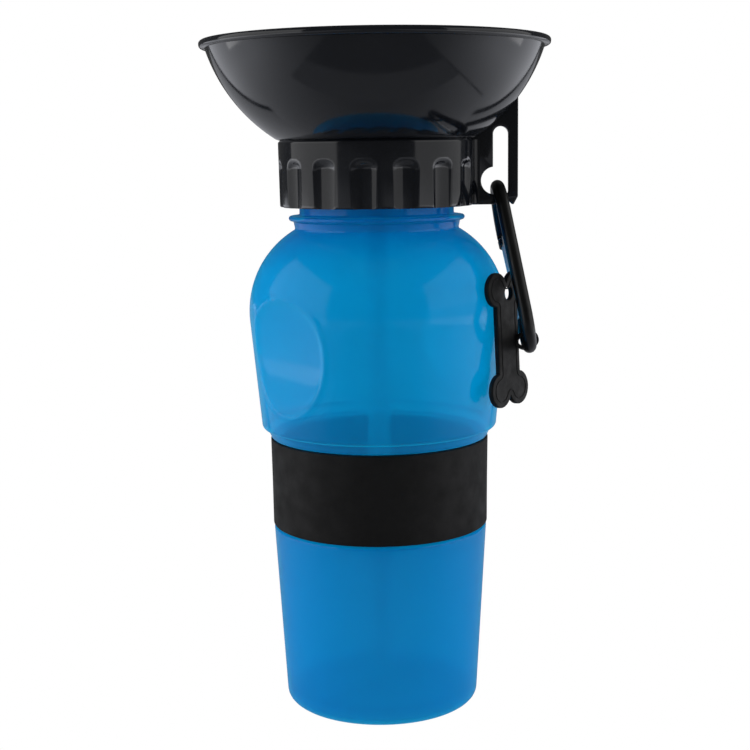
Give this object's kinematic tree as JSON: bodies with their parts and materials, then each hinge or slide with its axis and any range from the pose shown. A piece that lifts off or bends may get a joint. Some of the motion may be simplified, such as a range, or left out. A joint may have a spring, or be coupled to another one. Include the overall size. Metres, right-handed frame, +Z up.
{
  "type": "dog travel water bottle",
  "caption": "Squeezable travel bottle with a drinking bowl moulded on its screw lid, a grip band, an inner water tube, a spring carabiner and a bone-shaped tag.",
  "frame": {"origin": "centre of the bottle's base, on the surface it stands on", "axes": "+Z up along the bottle's axis, -Y towards the front, +X towards the hanger plate and its carabiner"},
  "size_m": [0.116, 0.116, 0.225],
  "materials": {
    "bottle_plastic": "satin, slightly translucent",
    "band_rubber": "matte",
    "lid_plastic": "gloss",
    "seal_rubber": "matte, milky",
    "tube_plastic": "clear",
    "black_metal": "satin black coating",
    "bright_metal": "bright",
    "tag_rubber": "matte"
  },
  "bodies": {
    "bottle": {"squeeze_bottle": "bottle_plastic", "grip_band": "band_rubber"},
    "gasket": {"lid_gasket": "seal_rubber"},
    "lid": {"bowl_lid": "lid_plastic", "water_tube": "tube_plastic"},
    "carabiner": {"carabiner_frame": "black_metal", "gate_hinge_pin": "bright_metal", "gate_spring": "bright_metal"},
    "gate": {"carabiner_gate": "bright_metal", "gate_latch_pin": "bright_metal"},
    "tag": {"bone_tag": "tag_rubber"}
  },
  "joints": [
    {"name": "lid_rise", "type": "slide", "parent": "bottle", "child": "gasket", "axis": [0, 0, 1], "range_m": [0, 0.00601]},
    {"name": "lid_turn", "type": "hinge", "parent": "gasket", "child": "lid", "pos_m": [0, 0, 0.18], "axis": [0, 0, 1], "range_deg": [0, 540]},
    {"name": "carabiner_swing", "type": "hinge", "parent": "lid", "child": "carabiner", "pos_m": [0.04055, 0, 0.17656], "axis": [0, -1, 0], "range_deg": [0, 110]},
    {"name": "gate_hinge", "type": "hinge", "parent": "carabiner", "child": "gate", "pos_m": [0.04827, -0.01169, 0.1309], "axis": [0.986, 0, 0.1668], "range_deg": [0, 16], "stiffness_Nm_per_rad": 0.02, "springref_deg": -22.92},
    {"name": "tag_swing", "type": "hinge", "parent": "carabiner", "child": "tag", "pos_m": [0.049, -0.0156, 0.1266], "axis": [0.7869, -0.6148, 0.0523], "range_deg": [-5, 18]}
  ],
  "couplings": [
    {"joint": "lid_rise", "follows": "lid_turn", "m_per_rad": 0.00063662}
  ]
}
